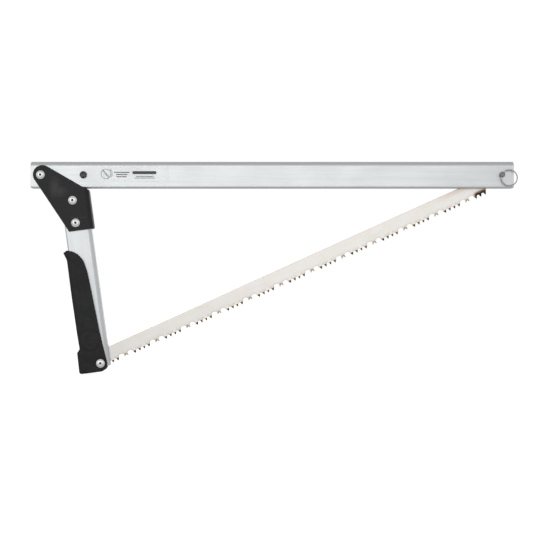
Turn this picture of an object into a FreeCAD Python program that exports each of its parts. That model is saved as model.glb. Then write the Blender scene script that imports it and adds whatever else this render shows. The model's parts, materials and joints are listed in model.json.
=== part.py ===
import FreeCAD, Part
import math
import os

import Sketcher

# Folding camp saw. A straight aluminium channel is the back of the saw. A shorter length of the
# same channel is the arm: it hangs from a black bracket that turns on a rivet near the left end.
# The blade runs from a pin at the right end of the back to a rivet at the foot of the arm.
# +X runs along the back, +Z is up, and the blade lies in the XZ plane.
# Each group of pieces has a frame of its own: the back and the arm start from the pivot rivet,
# the blade and the ring from the blade pin.

vector = FreeCAD.Vector

SIZES = {
    # where the pivot rivet stands, measured from the middle of the foot of the whole saw
    "pivot_x": -279.76, "pivot_y": -1.35, "pivot_z": 239.14,
    # aluminium channel, used for the back and for the arm
    "channel_width": 16.0, "channel_depth": 32.0, "channel_wall": 1.5,
    "crown_radius": 6.0, "lip_radius": 3.6, "lip_gap": 7.0, "end_bevel": 1.6,
    "spine_length": 580.0, "spine_left": 12.2,
    # arm, in a frame that is tilted about the pivot
    "arm_tilt": 7.7, "arm_near": 20.0, "arm_top": 23.5, "arm_foot": 238.0,
    "slot_top": 212.0, "slot_width": 4.6,
    # bracket
    "plate": 2.4, "plate_gap": 0.3, "lobe_x": 2.2, "lobe_radius": 11.3,
    "web_clearance": 0.3, "bend_radius": 6.4,
    "shoulder_x": 49.2, "shoulder_z": 22.0, "corner_x": 52.9, "corner_z": 24.3,
    "web_top": 26.9, "bracket_foot": 72.3, "toe_x": 24.8,
    # blind rivets and their mandrels
    "shank_radius": 2.4, "shank_hole": 2.45, "head_radius": 5.3, "head_height": 1.8,
    "bulb_radius": 3.6, "bulb_length": 3.2, "mandrel_radius": 1.3, "mandrel_hole": 1.32,
    "mandrel_sunk": 2.0, "tail_radius": 1.9,
    "fixing_x": 34.0, "upper_fixing": 35.5, "lower_fixing": 62.8,
    "foot_rivet_x": 41.2, "foot_rivet_z": 233.7,
    "washer_radius": 5.6, "washer_thickness": 1.0, "sleeve_radius": 4.0,
    # moulded handle
    "handle_half": 12.4, "cheek_gap": 0.2, "handle_edge": 2.6, "foot_corner": 3.0,
    # blade, in a frame that is tilted about the blade pin
    "blade_tilt": 24.3, "blade_thickness": 0.9, "blade_back": 6.4, "tooth_line": 14.0,
    "seat_x": 531.5, "seat_z": 8.09, "seat_radius": 2.75, "blade_left": 538.5,
    "blade_right": 7.3, "end_corner": 4.0, "back_corner": 3.0, "tab_lower": 7.2,
    "last_tooth": 25.8, "last_slope": 3.0,
    "first_raker": 49.3, "tooth_period": 41.0, "tooth_groups": 11,
    "peg_start": 11.3, "peg_pitch": 6.0, "peg_half": 2.1, "peg_tip": 0.2,
    "gap_depth": 3.7, "gullet_depth": 5.7, "raker_half": 2.6, "raker_notch": 1.9, "overcut": 1.0,
    # blade pin, its spacers and the split ring
    "pin_x": 553.2, "pin_radius": 3.2, "pin_hole": 3.27, "pin_head": 5.0,
    "pin_head_thickness": 1.6, "pin_crown": 0.7, "pin_end": 15.2,
    "cross_hole": 1.8, "cross_depth": 12.6,
    "spacer_radius": 5.2, "spacer_gap": 0.25,
    "ring_radius": 9.5, "ring_offset": 9.22, "ring_wire": 1.3, "ring_pitch": 1.25,
    "ring_turns": 1.9, "ring_tilt": 24.8, "ring_ends": 20.0,
    # blade screw, its insert and the label
    "screw_x": 51.2, "screw_head": 4.3, "screw_head_height": 3.0, "screw_shank": 2.5,
    "screw_tip": 1.8, "screw_slot": 1.1, "screw_slot_depth": 1.3, "screw_lean": 40.0,
    "insert_flange": 4.2, "insert_flange_height": 0.7, "insert_radius": 3.4,
    "insert_bore": 2.55, "insert_length": 4.6,
    "label_left": 71.0, "label_right": 154.5, "label_low": -7.6, "label_high": 10.6,
    "label_thickness": 0.12,
}

doc = FreeCAD.newDocument("camp_saw")
sheet = doc.addObject("Spreadsheet::Sheet", "Sizes")
for row, (alias, value) in enumerate(SIZES.items(), 1):
    sheet.set(f"A{row}", alias)
    sheet.set(f"B{row}", str(value))
    sheet.setAlias(f"B{row}", alias)
doc.recompute()

nodes = {}


def cell(text):
    """Turns '@word' into a reference to the sheet."""
    return text.replace("@", "Sizes.")


def worth(text):
    return float(doc.Sizes.evalExpression(text.replace("@", "")))


def bind(thing, **formulas):
    for name, text in formulas.items():
        thing.setExpression(name.replace("__", "."), cell(text))


# --- frames ---------------------------------------------------------------------------------


def spine_frame(x=0.0, y=0.0, z=0.0):
    place = vector(SIZES["pivot_x"] + x, SIZES["pivot_y"] + y, SIZES["pivot_z"] + z)
    return FreeCAD.Placement(place, FreeCAD.Rotation())


def turned_frame(x, tilt):
    frame = spine_frame(x)
    frame.Rotation = FreeCAD.Rotation(vector(0, 1, 0), -tilt)
    return frame


def arm_frame():
    return turned_frame(0, SIZES["arm_tilt"])


def blade_frame():
    return turned_frame(SIZES["pin_x"], SIZES["blade_tilt"])


def ring_frame():
    return turned_frame(SIZES["pin_x"], -SIZES["ring_tilt"])


def group_of(name, pieces):
    group = doc.addObject("Part::Compound", name)
    group.Links = pieces
    return group


def keep(name, thing, frame):
    """Names a finished sub-part and moves it from its own frame to the saw's."""
    thing.Label = name
    thing.Placement = frame
    nodes[name] = thing


# --- sketches and features ------------------------------------------------------------------


def new_body(name):
    return doc.addObject("PartDesign::Body", name + "_body")


def new_sketch(body, role, name):
    plane = next(f for f in body.Origin.OriginFeatures if f.Role == role)
    sketch = body.newObject("Sketcher::SketchObject", name)
    sketch.AttachmentSupport = [(plane, "")]
    sketch.MapMode = "FlatFace"
    return sketch


def pin_point(sketch, geometry, end, across, up):
    """Holds one end of a sketch line at a place given by two formulas."""
    for text, kind, axis in ((across, "DistanceX", -2), (up, "DistanceY", -1)):
        if text == "0":
            sketch.addConstraint(Sketcher.Constraint("PointOnObject", geometry, end, axis))
        else:
            value = worth(text)
            number = sketch.addConstraint(Sketcher.Constraint(kind, -1, 1, geometry, end, value))
            sketch.setExpression(f"Constraints[{number}]", cell(text))


def add_polygon(sketch, corners):
    places = [vector(worth(across), worth(up), 0) for across, up in corners]
    first = sketch.GeometryCount
    count = len(corners)
    for number in range(count):
        line = Part.LineSegment(places[number], places[(number + 1) % count])
        sketch.addGeometry(line, False)
    for number in range(count):
        following = first + (number + 1) % count
        sketch.addConstraint(Sketcher.Constraint("Coincident", first + number, 2, following, 1))
    for number, (across, up) in enumerate(corners):
        pin_point(sketch, first + number, 1, across, up)


def add_box(sketch, left, right, low, high):
    add_polygon(sketch, [(left, low), (right, low), (right, high), (left, high)])


def add_circle(sketch, across, up, radius):
    centre = vector(worth(across), worth(up), 0)
    circle = sketch.addGeometry(Part.Circle(centre, vector(0, 0, 1), worth(radius)), False)
    pin_point(sketch, circle, 3, across, up)
    number = sketch.addConstraint(Sketcher.Constraint("Radius", circle, worth(radius)))
    sketch.setExpression(f"Constraints[{number}]", cell(radius))


def add_pad(body, sketch, name, length):
    """Pads a sketch equally to both sides."""
    pad = body.newObject("PartDesign::Pad", name)
    pad.Profile = sketch
    pad.SideType = "Symmetric"
    bind(pad, Length=length)
    doc.recompute()
    return pad


def add_pocket(body, sketch, name, length=None):
    """Cuts a sketch through the body, or to a length shared equally by both sides."""
    before = body.Shape.Volume
    pocket = body.newObject("PartDesign::Pocket", name)
    pocket.Profile = sketch
    pocket.SideType = "Symmetric"
    if length is None:
        pocket.Type = "ThroughAll"
    else:
        bind(pocket, Length=length)
    doc.recompute()
    if body.Shape.Volume > before - 0.01:
        raise RuntimeError(name + " cuts nothing")
    return pocket


def edge_names(feature, wanted):
    found = []
    for number, edge in enumerate(feature.Shape.Edges, 1):
        if wanted(edge, edge.CenterOfMass):
            found.append(f"Edge{number}")
    return found


def runs_along(edge, direction):
    if not isinstance(edge.Curve, Part.Line):
        return False
    return abs(edge.tangentAt(edge.FirstParameter).dot(direction)) > 0.999


def round_edges(body, base, name, radius, wanted):
    fillet = body.newObject("PartDesign::Fillet", name)
    fillet.Base = (base, edge_names(base, wanted))
    bind(fillet, Radius=radius)
    doc.recompute()
    return fillet


def holes(body, name, places, radius):
    """Round holes across the saw, from side to side."""
    sketch = new_sketch(body, "XZ_Plane", name + "_sketch")
    for across, up in places:
        add_circle(sketch, across, up, radius)
    doc.recompute()
    return add_pocket(body, sketch, name)


def add_tube(name, outer, inner, low, high):
    """A tube along +Y between two depths, as a pair of cylinders and a cut."""
    parts = []
    for suffix, radius in (("_outside", outer), ("_bore", inner)):
        cylinder = doc.addObject("Part::Cylinder", name + suffix)
        bind(cylinder, Radius=radius, Height=f"({high}) - ({low})")
        cylinder.Placement = FreeCAD.Placement(
            vector(0, worth(low), 0), FreeCAD.Rotation(vector(1, 0, 0), -90))
        cylinder.setExpression("Placement.Base.y", cell(low))
        parts.append(cylinder)
    tube = doc.addObject("Part::Cut", name + "_tube")
    tube.Base, tube.Tool = parts
    return tube


# --- aluminium channels ---------------------------------------------------------------------


def along_edge(direction, deep, half, slack=0.3):
    """Test for edges that run in one direction at a given depth and half width of the section."""
    def wanted(edge, middle):
        depth = middle.z if direction.x else middle.x
        return (runs_along(edge, direction) and abs(depth - deep) < slack
                and abs(abs(middle.y) - half) < slack)
    return wanted


def round_channel(body, base, name, direction, crown, mouth, inside):
    """Rounds the crown and the lips of a channel, outside or inside the wall."""
    thinner = " - @channel_wall" if inside else ""
    wall = SIZES["channel_wall"] if inside else 0
    half = SIZES["channel_width"] / 2 - wall
    toward = math.copysign(wall, crown - mouth)
    crown_edges = along_edge(direction, crown - toward, half)
    lip_edges = along_edge(direction, mouth + toward, half)
    rounded = round_edges(body, base, name + "_crown", "@crown_radius" + thinner, crown_edges)
    return round_edges(body, rounded, name + "_lips", "@lip_radius" + thinner, lip_edges)


def make_spine():
    body = new_body("spine_channel")
    outline = new_sketch(body, "XZ_Plane", "spine_outline")
    add_box(outline, "-@spine_left", "@spine_length - @spine_left",
            "-@channel_depth / 2", "@channel_depth / 2")
    doc.recompute()
    add_pad(body, outline, "spine_pad", "@channel_width")
    along = vector(1, 0, 0)
    half_depth = SIZES["channel_depth"] / 2
    hollow = new_sketch(body, "YZ_Plane", "spine_hollow")
    add_box(hollow, "@channel_wall - @channel_width / 2", "@channel_width / 2 - @channel_wall",
            "@channel_wall - @channel_depth / 2", "@channel_depth / 2 - @channel_wall")
    cut = add_pocket(body, hollow, "spine_hollow_cut")
    inner = round_channel(body, cut, "spine_inner", along, half_depth, -half_depth, True)
    round_channel(body, inner, "spine_outer", along, half_depth, -half_depth, False)
    mouth = new_sketch(body, "YZ_Plane", "spine_mouth")
    add_box(mouth, "-@lip_gap / 2", "@lip_gap / 2",
            "-@channel_depth / 2 - @overcut", "-@channel_depth / 4")
    add_pocket(body, mouth, "spine_mouth_cut")
    bevels = new_sketch(body, "XZ_Plane", "spine_bevels")
    half = "@channel_depth / 2"
    for end, inward in (("-@spine_left", "+"), ("@spine_length - @spine_left", "-")):
        for sign in ("", "-"):
            height = f"{sign}{half}"
            back = "-" if sign == "" else "+"
            add_polygon(bevels, [(end, height), (f"{end} {inward} @end_bevel", height),
                                 (end, f"{height} {back} @end_bevel")])
    add_pocket(body, bevels, "spine_bevel_cut")
    holes(body, "spine_pivot_hole", [("0", "0")], "@shank_hole")
    holes(body, "spine_pin_hole", [("@pin_x", "0")], "@pin_hole")
    screw = new_sketch(body, "XZ_Plane", "spine_screw_hole")
    add_circle(screw, "@screw_x", "0", "@insert_radius")
    pocket = body.newObject("PartDesign::Pocket", "spine_screw_cut")
    pocket.Profile = screw
    pocket.SideType = "One side"
    pocket.Type = "ThroughAll"
    pocket.Reversed = True
    doc.recompute()
    return body


def make_arm():
    """The same channel on end: its crown faces the blade, its mouth faces the hand."""
    body = new_body("arm_channel")
    near, far = "@arm_near", "@arm_near + @channel_depth"
    outline = new_sketch(body, "XZ_Plane", "arm_outline")
    add_box(outline, near, far, "-@arm_foot", "-@arm_top")
    add_pad(body, outline, "arm_pad", "@channel_width")
    along = vector(0, 0, 1)
    hollow = new_sketch(body, "XY_Plane", "arm_hollow")
    add_box(hollow, "@arm_near + @channel_wall", "@arm_near + @channel_depth - @channel_wall",
            "@channel_wall - @channel_width / 2", "@channel_width / 2 - @channel_wall")
    cut = add_pocket(body, hollow, "arm_hollow_cut")
    inner = round_channel(body, cut, "arm_inner", along, worth(far), worth(near), True)
    round_channel(body, inner, "arm_outer", along, worth(far), worth(near), False)
    mouth = new_sketch(body, "XY_Plane", "arm_mouth")
    add_box(mouth, "@arm_near - @overcut", "@arm_near + @channel_depth / 4",
            "-@lip_gap / 2", "@lip_gap / 2")
    add_pocket(body, mouth, "arm_mouth_cut")
    slot = new_sketch(body, "YZ_Plane", "arm_slot")
    add_box(slot, "-@slot_width / 2", "@slot_width / 2",
            "-@arm_foot - @overcut", "-@slot_top")
    add_pocket(body, slot, "arm_slot_cut")
    fixings = [("@fixing_x", "-@upper_fixing"), ("@fixing_x", "-@lower_fixing"),
               ("@foot_rivet_x", "-@foot_rivet_z")]
    holes(body, "arm_holes", fixings, "@shank_hole")
    return body


# --- bracket --------------------------------------------------------------------------------


def add_bracket_outline(sketch):
    """A round lobe about the pivot and two straight flanks that run off it at a tangent."""
    outside = "@arm_near + @channel_depth + @web_clearance + @plate"
    corners = [("@toe_x", "-@bracket_foot"), (outside, "-@bracket_foot"),
               (outside, "-@web_top"), ("@corner_x", "-@corner_z"),
               ("@shoulder_x", "-@shoulder_z")]
    places = [vector(worth(across), worth(up), 0) for across, up in corners]
    centre = vector(SIZES["lobe_x"], 0, 0)
    radius = SIZES["lobe_radius"]

    def touch(corner, side):
        """Angle at which a tangent from a corner meets the lobe."""
        away = corner - centre
        return math.atan2(away.y, away.x) + side * math.acos(radius / away.Length)

    upper = touch(places[-1], 1)
    lower = touch(places[0], -1)
    circle = Part.Circle(centre, vector(0, 0, 1), radius)
    lobe = sketch.addGeometry(Part.ArcOfCircle(circle, upper, lower + 2 * math.pi), False)
    chain = [circle.value(lower), *places, circle.value(upper)]
    lines = [sketch.addGeometry(Part.LineSegment(start, end), False)
             for start, end in zip(chain, chain[1:])]
    sketch.addConstraint(Sketcher.Constraint("Tangent", lobe, 2, lines[0], 1))
    sketch.addConstraint(Sketcher.Constraint("Tangent", lines[-1], 2, lobe, 1))
    for line, following in zip(lines, lines[1:]):
        sketch.addConstraint(Sketcher.Constraint("Coincident", line, 2, following, 1))
    for line, (across, up) in zip(lines, corners):
        pin_point(sketch, line, 2, across, up)
    pin_point(sketch, lobe, 3, "@lobe_x", "0")
    number = sketch.addConstraint(Sketcher.Constraint("Radius", lobe, radius))
    sketch.setExpression(f"Constraints[{number}]", cell("@lobe_radius"))


def make_bracket():
    body = new_body("arm_bracket")
    outline = new_sketch(body, "XZ_Plane", "bracket_outline")
    add_bracket_outline(outline)
    pad = add_pad(body, outline, "bracket_pad",
                  "@channel_width + 2 * @plate_gap + 2 * @plate")
    along = vector(0, 0, 1)
    inside = worth("@arm_near + @channel_depth + @web_clearance")
    gap_half = worth("@channel_width / 2 + @plate_gap")
    plate = SIZES["plate"]
    round_edges(body, pad, "bracket_bends", "@bend_radius",
                along_edge(along, inside + plate, gap_half + plate))
    space = new_sketch(body, "XZ_Plane", "bracket_space")
    add_box(space, "-@channel_depth", "@arm_near + @channel_depth + @web_clearance",
            "-@bracket_foot - @overcut", "@channel_depth")
    cut = add_pocket(body, space, "bracket_space_cut", "@channel_width + 2 * @plate_gap")
    round_edges(body, cut, "bracket_inner_bends", "@bend_radius - @plate",
                along_edge(along, inside, gap_half))
    places = [("0", "0"), ("@fixing_x", "-@upper_fixing"), ("@fixing_x", "-@lower_fixing")]
    holes(body, "bracket_holes", places, "@shank_hole")
    return body


# --- blind rivets ---------------------------------------------------------------------------


def make_rivet(name, grip):
    """A set blind rivet along +Z: domed head above zero, shank and formed bulb below."""
    head = doc.addObject("Part::Sphere", name + "_head")
    ball = "(@head_radius ^ 2 + @head_height ^ 2) / (2 * @head_height)"
    bind(head, Radius=ball, Angle1=f"asin(({ball} - @head_height) / ({ball}))")
    head.Angle2 = 90
    bind(head, Placement__Base__z=f"@head_height - {ball}")
    shank = doc.addObject("Part::Cylinder", name + "_shank")
    bind(shank, Radius="@shank_radius", Height=grip, Placement__Base__z=f"-({grip})")
    bulb = doc.addObject("Part::Cylinder", name + "_bulb")
    bind(bulb, Radius="@bulb_radius", Height="@bulb_length",
         Placement__Base__z=f"-({grip}) - @bulb_length")
    whole = doc.addObject("Part::MultiFuse", name + "_whole")
    whole.Shapes = [head, shank, bulb]
    bore = doc.addObject("Part::Cylinder", name + "_bore")
    bind(bore, Radius="@mandrel_hole", Height=f"{grip} + @bulb_length + 2 * @head_height",
         Placement__Base__z=f"-({grip}) - @bulb_length - @overcut / 2")
    rivet = doc.addObject("Part::Cut", name + "_rivet")
    rivet.Base = whole
    rivet.Tool = bore
    return rivet


def make_mandrel(name, grip):
    """The snapped steel stem that stays in a rivet, with its ball of a tail."""
    stem = doc.addObject("Part::Cylinder", name + "_stem")
    bind(stem, Radius="@mandrel_radius",
         Height=f"{grip} + @bulb_length + @head_height - @mandrel_sunk",
         Placement__Base__z=f"-({grip}) - @bulb_length")
    tail = doc.addObject("Part::Cylinder", name + "_tail")
    bind(tail, Radius="@tail_radius", Height="@mandrel_radius",
         Placement__Base__z=f"-({grip}) - @bulb_length - @mandrel_radius")
    mandrel = doc.addObject("Part::Fuse", name + "_mandrel")
    mandrel.Base = stem
    mandrel.Tool = tail
    return mandrel


def side_place(x, depth, z, front):
    """Placement of a fastener whose head faces out at the front or at the rear."""
    turn = 90 if front else -90
    side = -1 if front else 1
    return FreeCAD.Placement(vector(x, side * depth, z), FreeCAD.Rotation(vector(1, 0, 0), turn))


def make_bracket_fixings():
    """Four short rivets: two through each side plate into the arm, and their mandrels."""
    outer = worth("@channel_width / 2 + @plate_gap + @plate")
    grip = "@plate_gap + @plate + @channel_wall"
    rivets = []
    mandrels = []
    for front in (True, False):
        for height in (SIZES["upper_fixing"], SIZES["lower_fixing"]):
            tag = f"fixing{len(rivets)}"
            place = side_place(SIZES["fixing_x"], outer, -height, front)
            for make, group in ((make_rivet, rivets), (make_mandrel, mandrels)):
                piece = make(tag, grip)
                piece.Placement = place
                group.append(piece)
    for name, group in (("bracket_rivets", rivets), ("bracket_mandrels", mandrels)):
        keep(name, group_of(name + "_group", group), arm_frame())


def make_through_rivet(name, x, z, outer):
    """A long rivet that crosses the saw, headed at the front, with a washer at the rear."""
    grip = f"2 * ({outer}) + @washer_thickness"
    place = side_place(x, worth(outer), z, True)
    for suffix, make in (("_rivet", make_rivet), ("_mandrel", make_mandrel)):
        piece = make(name + suffix, grip)
        piece.Placement = place
        keep(name + suffix, group_of(name + suffix + "_placed", [piece]), arm_frame())


def make_washers(places):
    washers = []
    for number, (x, z, outer) in enumerate(places):
        washer = add_tube(f"washer{number}", "@washer_radius", "@shank_hole",
                          outer, f"{outer} + @washer_thickness")
        washer.Placement.Base = vector(x, 0, z)
        washers.append(washer)
    keep("rivet_washers", group_of("washer_group", washers), arm_frame())


# --- handle ---------------------------------------------------------------------------------


def make_handle():
    """A one-piece grip that slips over the open side of the arm and over its foot."""
    body = new_body("handle_grip")
    outline = new_sketch(body, "XZ_Plane", "handle_outline")
    add_polygon(outline, [
        ("14.2", "-96.6"), ("17.4", "-106"), ("17.1", "-150"), ("17.6", "-196"),
        ("18.3", "-213"), ("14.6", "-218"), ("14.0", "-243.6"), ("44.6", "-243.6"),
        ("49.4", "-236"), ("48.2", "-226"), ("44.9", "-196"), ("41.9", "-150"),
        ("40.0", "-123"), ("37.2", "-109"), ("31.6", "-100.6"), ("25.6", "-96.2"),
        ("19.0", "-94.2")])
    pad = add_pad(body, outline, "handle_pad", "2 * @handle_half")
    across = vector(0, 1, 0)
    low = round_edges(body, pad, "handle_foot_corners", "@foot_corner",
                      lambda edge, middle: runs_along(edge, across)
                      and middle.z < -SIZES["arm_foot"])
    round_edges(body, low, "handle_rims", "@handle_edge",
                lambda edge, middle: abs(abs(middle.y) - SIZES["handle_half"]) < 0.001)
    space = new_sketch(body, "XZ_Plane", "handle_space")
    add_box(space, "@arm_near - @cheek_gap", "@arm_near + 2 * @channel_depth",
            "-@arm_foot - @cheek_gap", "-@channel_depth")
    add_pocket(body, space, "handle_space_cut", "@channel_width + 2 * @cheek_gap")
    holes(body, "handle_hole", [("@foot_rivet_x", "-@foot_rivet_z")], "@shank_hole")
    return body


# --- blade ----------------------------------------------------------------------------------


def add_gap(sketch, start, steps):
    """One gap between teeth: corners as (distance from start, height above the tooth line)."""
    add_polygon(sketch, [(f"{start} + {along}", f"{height} - @tooth_line")
                         for along, height in steps])


def add_peg_gap(sketch, start):
    """The narrow gap between two peg teeth."""
    add_gap(sketch, start, [("@peg_tip", "-@overcut"), ("@peg_half", "@gap_depth"),
                            ("@peg_pitch - @peg_half", "@gap_depth"),
                            ("@peg_pitch - @peg_tip", "-@overcut")])


def add_gullet(sketch, raker, side):
    """The deep gullet beside a raker, on its right or its left."""
    add_gap(sketch, raker, [
        (f"{side} * @raker_half", "-@overcut"),
        (f"{side} * (@raker_half + 0.3)", "0.6 * @gullet_depth"),
        (f"{side} * (@raker_half + 1.3)", "@gullet_depth"),
        (f"{side} * (@peg_start - 4.4)", "@gullet_depth"),
        (f"{side} * (@peg_start - 2.4)", "0.6 * @gullet_depth"),
        (f"{side} * (@peg_start - @peg_tip)", "-@overcut")])


def add_raker_notch(sketch, raker):
    """The notch that splits a raker into two points."""
    add_gap(sketch, raker, [
        ("-0.8 * @raker_half", "-@overcut"), ("-0.35 * @raker_half", "@raker_notch"),
        ("0.35 * @raker_half", "@raker_notch"), ("0.8 * @raker_half", "-@overcut")])


def add_tooth_pattern(body, gaps, cut):
    before = body.Shape.Volume
    pattern = body.newObject("PartDesign::LinearPattern", "tooth_pattern")
    pattern.Originals = [cut]
    pattern.Direction = (gaps, ["H_Axis"])
    pattern.Reversed = True
    bind(pattern, Length="@tooth_period * (@tooth_groups - 1)", Occurrences="@tooth_groups")
    body.Tip = pattern
    doc.recompute()
    if body.Shape.Volume > before - 1:
        raise RuntimeError("the tooth pattern cuts nothing")


def make_blade():
    """Peg-and-raker strip. Its left end is stepped, and rests on the rivet from above."""
    body = new_body("blade")
    outline = new_sketch(body, "XZ_Plane", "blade_outline")
    add_polygon(outline, [
        ("@back_corner - @blade_left", "@blade_back"),
        ("-@blade_left", "@blade_back - @back_corner"),
        ("-@blade_left", "@seat_radius - @seat_z"), ("-@seat_x", "@seat_radius - @seat_z"),
        ("0.7 * @seat_radius - @seat_x", "0.7 * @seat_radius - @seat_z"),
        ("@seat_radius - @seat_x", "-@seat_z"),
        ("@seat_radius - @seat_x", "@gap_depth - @tooth_line"),
        ("@peg_pitch - @seat_x", "@gap_depth - @tooth_line"),
        ("1.2 * @peg_pitch - @seat_x", "-@tooth_line"),
        ("-@last_tooth", "-@tooth_line"), ("@last_slope - @last_tooth", "-@tab_lower"),
        ("@blade_right - @end_corner", "-@tab_lower"), ("@blade_right", "@end_corner - @tab_lower"),
        ("@blade_right", "@blade_back - @end_corner"), ("@blade_right - @end_corner", "@blade_back")])
    add_pad(body, outline, "blade_pad", "@blade_thickness")
    holes(body, "blade_pin_hole", [("0", "0")], "@pin_hole")
    # one group of teeth, from the first raker to the next one on its left
    gaps = new_sketch(body, "XZ_Plane", "tooth_gaps")
    for number in range(3):
        add_peg_gap(gaps, f"@peg_start + {number} * @peg_pitch - @first_raker - @tooth_period")
    add_gullet(gaps, "-@first_raker - @tooth_period", 1)
    add_gullet(gaps, "-@first_raker", -1)
    add_raker_notch(gaps, "-@first_raker")
    doc.recompute()
    add_tooth_pattern(body, gaps, add_pocket(body, gaps, "tooth_gap_cut"))
    # the broken groups at both ends
    ends = new_sketch(body, "XZ_Plane", "end_gaps")
    last_raker = "-@first_raker - @tooth_groups * @tooth_period"
    for number in range(2):
        add_peg_gap(ends, f"@peg_start + {number} * @peg_pitch - @first_raker")
        add_peg_gap(ends, f"{last_raker} - @peg_start - {number + 1} * @peg_pitch")
    add_gullet(ends, "-@first_raker", 1)
    add_gullet(ends, last_raker, -1)
    add_raker_notch(ends, last_raker)
    doc.recompute()
    add_pocket(body, ends, "end_gap_cut")
    return body


# --- blade pin and split ring ---------------------------------------------------------------


def make_pin():
    """Headed pin, with a hole across its front end for the ring."""
    depth = "@channel_width / 2"
    shank = doc.addObject("Part::Cylinder", "pin_shank")
    head = doc.addObject("Part::Cylinder", "pin_rear_head")
    bind(shank, Radius="@pin_radius", Height=f"@pin_end + {depth} + @overcut")
    bind(head, Radius="@pin_head", Height="@pin_head_thickness")
    turn = FreeCAD.Rotation(vector(1, 0, 0), -90)
    shank.Placement = FreeCAD.Placement(vector(0, -SIZES["pin_end"], 0), turn)
    head.Placement = FreeCAD.Placement(vector(0, worth(depth), 0), turn)
    whole = doc.addObject("Part::Fuse", "pin_whole")
    whole.Base = shank
    whole.Tool = head
    crown = doc.addObject("Part::Chamfer", "pin_crown")
    crown.Base = whole
    doc.recompute()
    rims = [number for number, edge in enumerate(whole.Shape.Edges, 1)
            if abs(edge.CenterOfMass.y + SIZES["pin_end"]) < 0.01]
    crown.Edges = [(number, SIZES["pin_crown"], SIZES["pin_crown"]) for number in rims]
    hole = doc.addObject("Part::Cylinder", "pin_cross_hole")
    bind(hole, Radius="@cross_hole", Height="4 * @pin_radius")
    hole.Placement = FreeCAD.Placement(
        vector(0, -SIZES["cross_depth"], -2 * SIZES["pin_radius"]), FreeCAD.Rotation())
    pin = doc.addObject("Part::Cut", "pin_cut")
    pin.Base = crown
    pin.Tool = hole
    return pin


def make_ring():
    """Split ring: flat wire wound about two turns, threaded through the pin's cross hole."""
    radius, wire, pitch = (SIZES[name] for name in ("ring_radius", "ring_wire", "ring_pitch"))
    turns = SIZES["ring_turns"]
    path = Part.makeHelix(pitch, pitch * turns, radius)
    half = wire / 2
    thick = (pitch - 0.12) / 2
    corners = [vector(radius - half, 0, -thick), vector(radius + half, 0, -thick),
               vector(radius + half, 0, thick), vector(radius - half, 0, thick)]
    section = Part.makePolygon(corners + corners[:1])
    coil = Part.Wire(path.Edges).makePipeShell([section], True, True)
    coil.translate(vector(0, 0, -pitch * turns / 2))
    # the coil's axis is laid along Y, with the wire's ends on the side away from the pin
    coil.rotate(vector(0, 0, 0), vector(1, 0, 0), 90)
    coil.rotate(vector(0, 0, 0), vector(0, 1, 0), SIZES["ring_ends"])
    coil.translate(vector(SIZES["ring_offset"], -SIZES["cross_depth"], 0))
    ring = doc.addObject("Part::Feature", "ring_coil")
    ring.Shape = coil
    return group_of("ring_group", [ring])


# --- blade screw and label ------------------------------------------------------------------


def make_insert():
    """Threaded insert set in the front wall, with a thin flange outside."""
    face = "-@channel_width / 2"
    barrel = add_tube("insert_barrel", "@insert_radius - 0.02", "@insert_bore",
                      face, f"{face} + @insert_length")
    flange = add_tube("insert_flange", "@insert_flange", "@insert_bore",
                      f"{face} - @insert_flange_height", face)
    insert = doc.addObject("Part::Fuse", "insert_whole")
    insert.Base = barrel
    insert.Tool = flange
    return insert


def make_screw():
    """Black screw: domed head with one slot, and a shank that stops short of the blade."""
    under = "-@channel_width / 2 - @insert_flange_height"
    turn = FreeCAD.Rotation(vector(1, 0, 0), 90)
    ball = "(@screw_head ^ 2 + @screw_head_height ^ 2) / (2 * @screw_head_height)"
    head = doc.addObject("Part::Sphere", "screw_head")
    bind(head, Radius=ball, Angle1=f"asin(({ball} - @screw_head_height) / ({ball}))")
    head.Placement = FreeCAD.Placement(
        vector(0, worth(f"{under} + {ball} - @screw_head_height"), 0), turn)
    shank = doc.addObject("Part::Cylinder", "screw_shank")
    bind(shank, Radius="@screw_shank", Height=f"-@screw_tip - ({under})")
    shank.Placement = FreeCAD.Placement(vector(0, -SIZES["screw_tip"], 0), turn)
    whole = doc.addObject("Part::Fuse", "screw_whole")
    whole.Base = head
    whole.Tool = shank
    slot = doc.addObject("Part::Box", "screw_slot")
    bind(slot, Length="@screw_slot", Width="@screw_slot_depth + @overcut",
         Height="4 * @screw_head")
    lean = FreeCAD.Rotation(vector(0, 1, 0), -SIZES["screw_lean"])
    corner = lean.multVec(vector(-SIZES["screw_slot"] / 2, 0, -2 * SIZES["screw_head"]))
    corner.y = worth(f"{under} - @screw_head_height - @overcut")
    slot.Placement = FreeCAD.Placement(corner, lean)
    screw = doc.addObject("Part::Cut", "screw_cut")
    screw.Base = whole
    screw.Tool = slot
    return screw


def make_label():
    label = doc.addObject("Part::Box", "label_film")
    bind(label, Length="@label_right - @label_left", Width="@label_thickness",
         Height="@label_high - @label_low")
    return label


# --- the saw --------------------------------------------------------------------------------


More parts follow.
